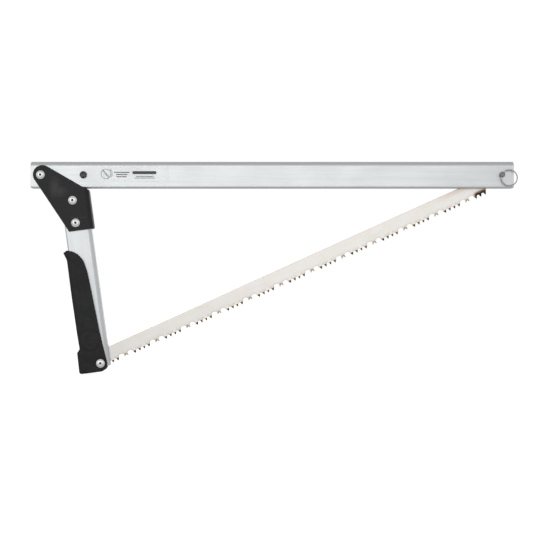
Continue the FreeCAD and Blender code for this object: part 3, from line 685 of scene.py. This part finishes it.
# Channels: one drawn section, its crown on one side and two lips along the mouth

def channelSection(steps=9):
    # outer and inner chain of the section as (across, up), from one lip round to the other
    half, deep, wall, mouth, edge = (channel[key] for key in ("half", "deep", "wall", "mouth", "edge"))
    top, foot = deep / 2, -deep / 2
    chains = []
    for inset, foldAt in ((0.0, foot), (wall, foot + wall)):
        chain = [(-mouth, foot + wall / 2, 0), (-mouth, foldAt, edge),
                 (inset - half, foldAt, channel["lip"] - inset),
                 (inset - half, top - inset, channel["crown"] - inset)]
        mirrored = [(-across, up, radius) for across, up, radius in reversed(chain)]
        chains.append(roundOutline(chain + mirrored, steps))
    return chains


def sweepChannel(low, high, corner, spacing=60):
    # the section along X from low to high, its cut ends rounded in side view and their edges broken
    outer, inner = channelSection()
    mesh = bmesh.new()
    rings = []
    count = max(1, round((high - low) / spacing))
    stations = [(low + (high - low) * step / count, 0.0, 0) for step in range(1, count)]
    for back, inset in ((0.25, 0.0), (0.08, 0.07), (0.0, 0.22)):  # the broken edge, towards each end
        stations = [(low + back, inset, 1), *stations, (high - back, inset, -1)]
    for x, inset, end in stations:
        ring = []
        for own, other in ((outer, inner), (inner, outer)):
            chain = []
            for index, point in enumerate(own):
                across = other[index] - point
                spot = point + across.normalized() * inset if across.length > 0.01 else point
                past = max(0.0, abs(spot.y) - (channel["deep"] / 2 - corner))
                shift = corner - math.sqrt(max(0.0, corner * corner - past * past))
                chain.append(mesh.verts.new((x + end * shift, spot.x, spot.y)))
            ring.append(chain)
        rings.append(ring)
    for near, far in zip(rings, rings[1:]):
        for side in (0, 1):
            bridge(mesh, near[side], far[side], False)
    for ring in (rings[0], rings[-1]):
        bridge(mesh, *ring, False)
    bmesh.ops.remove_doubles(mesh, verts=mesh.verts, dist=0.002)
    return mesh


def makeSpine():
    spine = {"left": -12.2, "right": 567.8, "corner": 1.9, "screwHole": 3.4, "sharp": 34.0}
    mesh = sweepChannel(spine["left"], spine["right"], spine["corner"])
    piece = finishPiece("spineChannel", mesh, "spine", "spineAluminium", "spine_channel")
    drill(piece, spineFrame, shank["hole"])
    drill(piece, spineFrame @ at(pinX, 0), pinHole)
    drill(piece, bodyFrames["screw"], spine["screwHole"], 0)
    evenNormals(piece, spine["sharp"])


def makeArm():
    arm = {"near": 20.0, "top": -23.5, "foot": -238.0, "corner": 1.4, "slotTop": -212.0, "slotHalf": 2.3,
           "slot": (30.0, 60.0), "sharp": 34.0}
    # the section's X runs down the arm and its crown faces the blade
    turn = armFrame @ at(arm["near"] + channel["deep"] / 2, 0) @ turned("Y", 90.0)
    mesh = sweepChannel(-arm["top"], -arm["foot"], arm["corner"])
    piece = finishPiece("armChannel", mesh, "arm", "armAluminium", "arm_channel", place=turn)
    for spot in (*bracketSpots, footSpot):
        drill(piece, armFrame @ at(*spot), shank["hole"])
    slot = bmesh.new()
    near, far = arm["slot"]
    addBox(slot, (near, -arm["slotHalf"], arm["foot"] - 5), (far, arm["slotHalf"], arm["slotTop"]))
    cutWith(piece, slot, armFrame)
    evenNormals(piece, arm["sharp"])


makeSpine()
makeArm()
print("channels made")


# Bracket: bent plate, a round lobe on the pivot and two flanks that run off it

def makeBracket():
    bracket = {"web": 52.3, "bend": 6.4, "lobe": (2.2, 0.0, 11.3), "edge": 0.5, "open": -14.0,
               "foot": -72.3, "blank": (-80, 20), "broken": 50.0, "sharp": 40.0}
    thick = plate["outside"] - plate["inside"]
    outside = bracket["web"] + thick
    corners = [(24.8, bracket["foot"], 0.8), (outside, bracket["foot"], 2.6), (outside, -26.9, 2.0),
               (52.9, -24.3, 1.2), (49.2, -22.0, 1.0)]
    centre, radius = Vector(bracket["lobe"][:2]), bracket["lobe"][2]

    def touch(corner, side):
        # angle at which a line from a corner touches the lobe
        away = Vector(corner[:2]) - centre
        return math.degrees(math.atan2(away.y, away.x) + side * math.acos(radius / away.length))

    lobe = arc(centre, radius, touch(corners[-1], 1), touch(corners[0], -1) + 360, 44)
    silhouette = lobe[:-1] + roundOutline([(*lobe[-1], 0), *corners, (*lobe[0], 0)], 8)[:-1]

    def fold(web, half, bend):
        # one face of the bent plate, seen from above
        return roundOutline([(bracket["open"], -half, 0), (web, -half, bend), (web, half, bend),
                             (bracket["open"], half, 0)], 12)

    outer = fold(outside, plate["outside"], bracket["bend"])
    inner = fold(bracket["web"], plate["inside"], bracket["bend"] - thick)
    mesh = bmesh.new()
    section = outer + list(reversed(inner))
    ends = [[mesh.verts.new((point.x, point.y, z)) for point in section] for z in bracket["blank"]]
    bridge(mesh, *ends)
    for ring in ends:
        bridge(mesh, ring[:len(outer)], ring[::-1], False)
    piece = finishPiece("armBracket", mesh, "arm", "powderCoat", "arm_bracket")
    blank = bmesh.new()
    addPrism(blank, silhouette, -15, 15)
    cutWith(piece, blank, armFrame, "INTERSECT")
    for spot in ((0, 0), *bracketSpots):
        drill(piece, armFrame @ at(*spot), shank["hole"])
    breakEdges(piece, bracket["edge"], bracket["broken"])
    evenNormals(piece, bracket["sharp"])


makeBracket()
print("bracket made")


# Grip

def makeGrip():
    grip = {
        "flank": 6.5, "flankShare": 0.62, "rim": 1.5, "hollow": 0.55, "grid": 1.15, "longestSide": 1.1,
        "disc": (32.0, -205.5, 11.6), "discRise": 0.45, "moat": 0.35, "moatAt": 0.9, "moatWidth": 0.8,
        "rivetMoat": (5.5, 6.7), "rivetMoatDepth": 0.55, "sharp": 40.0,
        # corners as (x, z, radius), from the horn round by the palm side, the foot and the blade side
        "corners": [(14.2, -96.6, 1.1), (17.4, -106.0, 9.0), (17.1, -150.0, 60.0), (17.6, -196.0, 60.0),
                    (18.2, -213.6, 2.2), (14.6, -217.8, 2.0), (14.0, -243.6, 3.2), (44.6, -243.6, 10.0),
                    (49.4, -236.0, 7.0), (48.2, -226.0, 20.0), (44.9, -196.0, 90.0), (41.9, -150.0, 90.0),
                    (40.0, -123.0, 60.0), (37.0, -108.6, 14.0), (31.6, -100.6, 12.0), (25.6, -96.4, 9.0),
                    (19.0, -94.2, 2.0)],
        "palm": (19.2, -95.5),
        "space": ((19.8, -8.2, -238.2), (84.0, 8.2, -32.0)),
    }
    outline = divideOutline(roundOutline(grip["corners"], 10), grip["longestSide"])
    count = len(outline)
    palmSide = [index for index, point in enumerate(outline)
                if point.x < grip["palm"][0] and point.y < grip["palm"][1]]
    bladeSide = [index for index in range(count) if index not in palmSide]

    def nearest(point, indexes):
        # distance from a point to a run of the outline
        gaps = []
        for index in indexes:
            start, end = outline[index], outline[(index + 1) % count]
            side = end - start
            along = max(0.0, min(1.0, (point - start).dot(side) / side.length_squared))
            gaps.append((point - start - side * along).length)
        return min(gaps)

    def fall(distance, radius):
        # how far a rounded edge has dropped at this distance from the outline
        inside = max(0.0, radius - max(0.0, distance))
        return radius - math.sqrt(max(0.0, radius * radius - inside * inside))

    def thickness(point):
        palm, blade = nearest(point, palmSide), nearest(point, bladeSide)
        height = gripHalf - fall(palm, grip["flank"]) * grip["flankShare"] - fall(blade, grip["rim"])
        middle = ease(palm, 4.0, 11.0) * ease(blade, 3.0, 9.0)
        middle *= ease(point.y, -192.0, -176.0) * ease(-point.y, 104.0, 120.0)
        height -= grip["hollow"] * middle
        fromDisc = (point - Vector(grip["disc"][:2])).length - grip["disc"][2]
        if min(palm, blade) > 1.2:
            moat = math.exp(-((fromDisc - grip["moatAt"]) / grip["moatWidth"]) ** 2)
            height += grip["discRise"] * ease(-fromDisc, -0.1, 0.9) - grip["moat"] * moat
        fromRivet = (point - Vector(footSpot)).length
        near, far = grip["rivetMoat"]
        moat = ease(fromRivet, near - 0.3, near) - ease(fromRivet, far, far + 0.5)
        return height - grip["rivetMoatDepth"] * moat

    # rings close to the outline, then a grid over the rest
    inner = []
    for inset in (0.15, 0.4, 0.8, 1.3, 1.9, 2.8):
        for index, start in enumerate(outline):
            side = (outline[(index + 1) % count] - outline[index - 1]).normalized()
            point = start + Vector((-side.y, side.x)) * inset
            if nearest(point, range(max(0, index - 14), min(count, index + 14))) > inset * 0.93:
                inner.append(point)
    xLow, xHigh = min(point.x for point in outline), max(point.x for point in outline)
    zLow, zHigh = min(point.y for point in outline), max(point.y for point in outline)
    columns, rows = (int(side / grip["grid"]) + 1 for side in (xHigh - xLow, zHigh - zLow))
    inner += [Vector((xLow + (column + 0.5 * (row % 2)) * grip["grid"], zLow + row * grip["grid"]))
              for column in range(columns) for row in range(rows)]
    found, triangles = netOver(outline, inner, 0.0001)[:2]
    mesh = bmesh.new()
    near, far = {}, {}
    for index in sorted({index for triangle in triangles for index in triangle}):
        point = found[index]
        deep = thickness(point)
        near[index] = mesh.verts.new((point.x, -deep, point.y))
        far[index] = mesh.verts.new((point.x, deep, point.y))
    closeShell(mesh, triangles, near, far)
    print("grip points on each side:", len(near))
    piece = finishPiece("handleGrip", mesh, "arm", "mouldedGrip", "handle_grip", 44.0)
    space = bmesh.new()
    addBox(space, *grip["space"])
    cutWith(piece, space, armFrame)
    drill(piece, armFrame @ at(*footSpot), shank["hole"], segments=40)
    evenNormals(piece, grip["sharp"])


makeGrip()
print("grip made")


# Blind rivets, set: a domed head, a formed bulb at the far end and the stem left inside

def addRivet(mesh, x, z, face, facing, grip):
    # facing is 1 where the head faces the front; depths are measured in from the face under the head
    shell = shank["shell"]
    head = [(-1.05, 1.34), (-1.4, 1.42), (-1.62, 1.58), (-1.72, 1.85), (-1.74, 2.15), (-1.66, 2.6),
            (-1.5, 3.15), (-1.26, 3.75), (-0.96, 4.3), (-0.66, 4.78), (-0.36, 5.12), (-0.18, 5.27),
            (-0.06, 5.3), (0.0, 5.22)]
    bulb = [(0.0, shell), (0.05, 3.1), (0.3, 3.45), (0.8, 3.6), (1.9, 3.55), (2.6, 3.2), (3.05, 2.7),
            (3.2, 2.2)]
    profile = [(grip + 3.2, 1.34), *head, (0.0, shell), *((grip + depth, radius) for depth, radius in bulb)]
    lathe(mesh, [(face + facing * depth, radius) for depth, radius in profile], x, z, 72, True)


def addStem(mesh, x, z, face, facing, grip):
    # a snapped end deep in the head and a round tail behind the bulb
    snapped = [(0.25, 0.0), (0.32, 0.45), (0.05, 0.8), (0.2, 1.1), (0.45, 1.3)]
    tail = [(3.2, 1.3), (3.22, 1.75), (3.4, 1.9), (3.9, 1.88), (4.3, 1.5), (4.5, 0.0)]
    profile = [*snapped, *((grip + depth, radius) for depth, radius in tail)]
    lathe(mesh, [(face + facing * depth, radius) for depth, radius in profile], x, z, 40)


def makeRivets():
    outside, shortGrip = plate["outside"], 4.2
    # each place is x, z, depth of the face under the head, which way it faces, and the grip
    rivets = [
        ("bracketRivet", "bracket_rivets", "bracket_mandrels",
         [(*spot, -side * outside, side, shortGrip) for side in (1, -1) for spot in bracketSpots]),
        ("pivotRivet", "pivot_rivet", "pivot_mandrel",
         [(0.0, 0.0, -outside, 1, 2 * outside + washerThick)]),
        ("handleRivet", "handle_rivet", "handle_mandrel",
         [(*footSpot, -gripHalf, 1, 2 * gripHalf + washerThick)]),
    ]
    for name, shellNode, stemNode, places in rivets:
        shells, stems = bmesh.new(), bmesh.new()
        for place in places:
            addRivet(shells, *place)
            addStem(stems, *place)
        finishPiece(name + "s", shells, "arm", "rivetAluminium", shellNode, 50.0)
        finishPiece(name + "Stems", stems, "arm", "stemSteel", stemNode, 50.0)


makeRivets()


# Plain turned parts: washers, sleeves, spacers and the screw's insert

def makeTurnedParts():
    washers = bmesh.new()
    for x, z, face in ((0.0, 0.0, plate["outside"]), (*footSpot, gripHalf)):
        lathe(washers, roundBox(face, shank["hole"], face + washerThick, 5.6, 0.3, 4), x, z, 64, True)
    finishPiece("rivetWashers", washers, "arm", "rivetAluminium", "rivet_washers")
    sleeve = bmesh.new()
    lathe(sleeve, roundBox(-6.45, 2.5, 6.45, 4.0, 0.2, 4), 0, 0, 48, True)
    finishPiece("pivotSleeve", sleeve, "spine", "stemSteel", "pivot_sleeve")
    insert = bmesh.new()
    profile = [(-8.0, 3.38), (-3.5, 3.38), (-3.4, 3.28), (-3.4, 2.65), (-3.5, 2.55), (-8.55, 2.55),
               (-8.7, 2.7), (-8.7, 4.0), (-8.62, 4.14), (-8.45, 4.2), (-8.0, 4.2)]
    lathe(insert, profile, screwX, 0, 64, True)
    finishPiece("screwInsert", insert, "spine", "nickel", "screw_insert")
    for name, node, spot, body, inner, outer in (
            ("pinSpacers", "pin_spacers", (pinX, 0), "spine", 3.3, 5.2),
            ("rivetSpacers", "rivet_spacers", footSpot, "arm", 2.5, 4.0)):
        pair = bmesh.new()
        for side in (-1, 1):
            lathe(pair, roundBox(side * 0.75, inner, side * 6.4, outer, 0.25, 4), *spot, 56, True)
        finishPiece(name, pair, body, "nylon", node)


makeTurnedParts()
print("rivets and turned parts made")


# Blade pin, its split ring and the blade screw

def makePin():
    pin = {"radius": 3.2, "front": -15.2, "face": 8.0, "head": 5.0, "back": 9.6, "cross": -12.6,
           "crossHole": 1.8, "edge": 0.25, "broken": 50.0, "sharp": 40.0}
    front, face, back, radius, head = (pin[key] for key in ("front", "face", "back", "radius", "head"))
    mesh = bmesh.new()
    corners = [(front, 0, 0), (front, radius, 1.1), (face, radius, 0.1), (face, head, 0.2),
               (back, head, 0.7), (back, 0, 0)]
    lathe(mesh, roundOutline(corners, 6), 0, 0)
    piece = finishPiece("bladePin", mesh, "pin", "pinSteel", "blade_pin")
    across = ringFrame @ at(0, 0, pin["cross"]) @ turned("X", 90.0)
    drill(piece, across, pin["crossHole"], segments=40)
    breakEdges(piece, pin["edge"], pin["broken"])
    evenNormals(piece, pin["sharp"])


def makeRing():
    ring = {"radius": 9.5, "centre": (9.22, -12.6), "wire": 1.3, "coil": 1.13, "pitch": 1.25, "turns": 1.9,
            "start": 20.0, "corner": 0.42, "steps": 190, "crossing": (0.72, 1.18), "dressed": 0.02,
            "tip": 0.72}
    half, thick = ring["wire"] / 2, ring["coil"] / 2
    section = roundBox(-half, -thick, half, thick, ring["corner"], 4)
    mesh = bmesh.new()
    rings = []
    for step in range(ring["steps"] + 1):
        travelled = ring["turns"] * step / ring["steps"]
        turn = math.radians(ring["start"]) + 2 * math.pi * travelled
        middle = ring["centre"][1] + ring["pitch"] * (ease(travelled, *ring["crossing"]) - 0.5)
        # the wire's two ends are dressed down so that a nail can open it
        fromEnd = min(travelled, ring["turns"] - travelled)
        share = ring["tip"] + (1.0 - ring["tip"]) * ease(fromEnd, 0.0, ring["dressed"])
        loop = []
        for point in section:
            out = ring["radius"] + point.x * share
            loop.append(mesh.verts.new((ring["centre"][0] + out * math.cos(turn), middle + point.y * share,
                                        out * math.sin(turn))))
        rings.append(loop)
    for near, far in zip(rings, rings[1:]):
        bridge(mesh, near, far)
    mesh.faces.new(rings[0])
    mesh.faces.new(rings[-1])
    finishPiece("splitRing", mesh, "ring", "nickel", "split_ring", 50.0)


def makeScrew():
    screw = {"under": -8.7, "head": 4.3, "height": 3.0, "shank": 2.5, "tip": -1.8, "slot": 0.62,
             "slotDepth": 1.2, "lean": -40.0, "edge": 0.12, "broken": 55.0, "sharp": 40.0}
    under, head, body, tip = (screw[key] for key in ("under", "head", "shank", "tip"))
    top = under - screw["height"]
    mesh = bmesh.new()
    corners = [(top + 0.35, 0, 0), (top + 0.3, 1.6, 0.8), (top, 2.9, 0.8), (top + 0.55, 3.85, 0.8),
               (top + 1.6, head, 0.6), (under, head, 0.25), (under, body, 0.1), (tip, body, 0.5),
               (tip, 0, 0)]
    lathe(mesh, roundOutline(corners, 5), 0, 0)
    piece = finishPiece("bladeScrew", mesh, "screw", "blackOxide", "blade_screw")
    slot = bmesh.new()
    addBox(slot, (-screw["slot"], top - 2, -8), (screw["slot"], top + screw["slotDepth"], 8))
    cutWith(piece, slot, bodyFrames["screw"] @ turned("Y", screw["lean"]))
    breakEdges(piece, screw["edge"], screw["broken"])
    evenNormals(piece, screw["sharp"])


makePin()
makeRing()
makeScrew()
print("pin, ring and screw made")


# Label: clear film with a plain slotted-screw sign, a turning arrow and plain bars

def strokeOutline(points, width):
    # a line of even width along some points
    left, right = [], []
    for index, point in enumerate(points):
        before, after = points[max(0, index - 1)], points[min(len(points) - 1, index + 1)]
        side = (after - before).normalized() * (width / 2)
        left.append(point + Vector((-side.y, side.x)))
        right.append(point - Vector((-side.y, side.x)))
    return left + list(reversed(right))


def makeLabel():
    label = {"left": 71.0, "right": 154.5, "low": -7.6, "high": 10.6, "corner": 1.6, "film": (-8.12, -8.01),
             "ink": (-8.16, -8.12), "sign": (78.4, 1.1), "signRadius": 5.8, "line": 0.5, "slot": 1.0,
             "slotLean": -48.0, "arrowGap": 1.5, "arrow": (-32, 38),
             # bars as (left, middle height, length, width)
             "bars": [(88.0, 2.9, 18.5, 1.0), (90.5, 0.3, 13.5, 1.0), (90.8, -2.3, 12.5, 1.0),
                      (114.5, -1.9, 21.0, 0.7), (112.5, -3.9, 24.5, 0.7), (110.0, 2.6, 29.0, 3.6)]}
    film = bmesh.new()
    outline = roundBox(label["left"], label["low"], label["right"], label["high"], label["corner"])
    addPrism(film, outline, *label["film"])
    finishPiece("labelFilm", film, "spine", "labelFilm", "spine_label")
    centre, radius = Vector(label["sign"]), label["signRadius"]
    circle = arc(centre, radius, 0, 360, 64)
    lean = math.radians(label["slotLean"])
    across = Vector((math.cos(lean), math.sin(lean)))
    aside = Vector((-across.y, across.x)) * label["slot"] / 2
    turning = arc(centre, radius + label["arrowGap"], *label["arrow"], 16)
    strokes = [circle[:33], circle[32:], turning]
    reach = across * (radius - 0.2)
    strokes += [[centre + side * aside - reach, centre + side * aside + reach] for side in (-1, 1)]
    sign = bmesh.new()
    for stroke in strokes:
        addPrism(sign, strokeOutline(stroke, label["line"]), *label["ink"])
    tip = turning[-1]
    ahead = (tip - turning[-3]).normalized()
    beside = Vector((-ahead.y, ahead.x)) * 0.9
    barb = tip - ahead * 0.3
    addPrism(sign, [barb + beside, tip + ahead * 1.5, barb - beside], *label["ink"])
    finishPiece("screwSign", sign, "spine", "paleInk")
    bars = bmesh.new()
    for x, z, long, high in label["bars"]:
        outline = roundBox(x, z - high / 2, x + long, z + high / 2, min(high, long) * 0.45, 5)
        addPrism(bars, outline, *label["ink"])
    finishPiece("printedBars", bars, "spine", "printInk")


makeLabel()
print("label made")


# Blade: ground strip, pegs in fours between split rakers, set to alternate sides

def makeBlade():
    blade = {"back": 6.4, "toothLine": -14.0, "root": 3.7, "gullet": 5.7, "rakerDrop": 0.9, "half": 0.45,
             "set": 0.42, "left": -538.5, "right": 7.3, "tab": -7.2, "chamfer": 4.0, "corner": 2.0,
             "lastTooth": -25.9, "firstRaker": -49.3, "period": 41.0, "groups": 11, "pegStart": 11.3,
             "pitch": 6.0, "pegHalf": 2.2, "rakerHalf": 2.6, "notch": 1.9, "seat": (-531.5, -8.09, 2.75),
             # how much of the half thickness is ground off pegs and off the other edges
             "pegGround": 1.054, "edgeGround": 0.12, "sharp": 22.0}
    # extra points that carry the colours: levels along the strip, and above each peg's point
    net = {"levels": (6.1, 5.0, 3.0, 0.0, -3.0, -5.0, -6.8), "inset": 3.5, "step": 3.4, "count": 159,
           "aboveTip": (0.8, 1.6, 2.6, 4.0)}
    line, back, right, tab = (blade[key] for key in ("toothLine", "back", "right", "tab"))
    root, deep, prongLine = (line + blade[key] for key in ("root", "gullet", "rakerDrop"))
    rakers = [blade["firstRaker"] - blade["period"] * number for number in range(blade["groups"] + 1)]
    pegs = []
    seatX, seatZ, seatRadius = blade["seat"]

    def pegRow(start, count):
        # pegs from a start towards the left, and the rounded gaps between their points
        row = [start - blade["pitch"] * step for step in range(count)]
        pegs.extend(row)
        gaps = []
        for near, far in zip(row, row[1:]):
            gaps += [(near - 0.1, line, 0), (near - 2.0, root, 0.9)]
            gaps += [(far + 2.0, root, 0.9), (far + 0.1, line, 0)]
        return gaps

    def gullet(raker, side):
        # the deep round gullet beside a raker, from the raker outwards
        half = blade["rakerHalf"]
        return [(raker + side * half, prongLine, 0), (raker + side * (half - 0.5), line + 2.9, 1.4),
                (raker + side * (half + 0.7), deep, 2.4), (raker + side * 8.0, deep, 2.4),
                (raker + side * 9.2, line + 3.2, 2.0), (raker + side * (blade["pegStart"] - 0.1), line, 0)]

    chamfer, corner = blade["chamfer"], blade["corner"]
    corners = [(right - chamfer, back, corner), (right, back - chamfer, corner),
               (right, tab + chamfer, corner), (right - chamfer, tab, corner),
               (blade["lastTooth"] + 2.9, tab, 0.8), (blade["lastTooth"], line, 0)]
    corners += pegRow(rakers[0] + blade["pegStart"] + 2 * blade["pitch"], 3)
    prong, notch, notchTop = 0.9 * blade["rakerHalf"], 0.25 * blade["rakerHalf"], prongLine + blade["notch"]
    for raker in rakers:
        corners += reversed(gullet(raker, 1))
        corners += [(raker + prong, prongLine, 0), (raker + notch, notchTop, 0.6)]
        corners += [(raker - notch, notchTop, 0.6), (raker - prong, prongLine, 0)]
        corners += gullet(raker, -1)
        corners += pegRow(raker - blade["pegStart"], 3 if raker == rakers[-1] else 4)
    corners += [(seatX + 7.3, line, 0), (seatX + 6.0, root, 1.0), (seatX + seatRadius, root, 0)]
    outline = roundOutline(corners, 5)
    outline += arc(Vector((seatX, seatZ)), seatRadius, 0, 90, 8)
    outline += roundOutline([(seatX, seatZ + seatRadius, 0), (blade["left"], seatZ + seatRadius, 0.6),
                             (blade["left"], back - 3, 1.2), (blade["left"] + 3, back, 1.2),
                             (right - chamfer, back, 0)], 5)[1:-1]
    outline = [point for index, point in enumerate(outline) if (point - outline[index - 1]).length > 0.01]
    inner = [Vector((blade["left"] + net["inset"] + net["step"] * step, z))
             for z in net["levels"] for step in range(net["count"])]
    inner += [Vector((peg, line + lift)) for peg in pegs for lift in net["aboveTip"]]
    found, triangles, sources = netOver(outline, inner, 0.0005)
    count = len(outline)
    onEdge = {index for index, source in enumerate(sources) if any(number < count for number in source)}
    mesh = bmesh.new()
    layers = mesh.verts.layers.float
    tempering, raked, stain = (layers.new(name) for name in ("tempering", "raker", "stain"))
    near, far = {}, {}
    for index in sorted({index for triangle in triangles for index in triangle}):
        x, z = found[index]
        number = min(range(len(pegs)), key=lambda item: abs(pegs[item] - x))
        isPeg = abs(pegs[number] - x) < blade["pegHalf"]
        bend = (1 if number % 2 else -1) if isPeg else 0
        lean = bend * blade["set"] * ease(-z, 10.3, 14.0)
        ground = 0.0
        if index in onEdge:
            ground = blade["pegGround"] * ease(-z, 10.2, 11.6) if isPeg else blade["edgeGround"]
        # colours: burnt by the weld at the right end, tempered along the teeth, stained along the edges
        burnt = ease(x, -43.0, -36.0) * ease(-z, 3.0, 10.5)
        edgeStain = 0.62 * ease(z, 5.0, 6.4) + (0.4 * ease(-z, 6.4, 9.8) if index in onEdge else 0.0)
        endStain = 0.5 * burnt + 0.45 * ease(x, -110.0, -50.0) * ease(z, -2.0, 4.0)
        for side, verts in ((-1, near), (1, far)):
            reach = side * blade["half"] * (1.0 if side == bend else 1.0 - ground)
            vert = mesh.verts.new((x, reach + lean, z))
            vert[tempering] = max(ease(-z, 10.0, 12.0), 0.95 * burnt)
            vert[raked] = 1.0 if min(abs(x - raker) for raker in rakers) < 3.4 else 0.0
            vert[stain] = min(1.0, edgeStain + endStain)
            verts[index] = vert
    closeShell(mesh, triangles, near, far)
    piece = finishPiece("toothedBlade", mesh, "blade", "bladeSteel", "blade", blade["sharp"])
    drill(piece, bladeFrame, pinHole)
    smooth(piece, blade["sharp"])


makeBlade()
print("blade made")

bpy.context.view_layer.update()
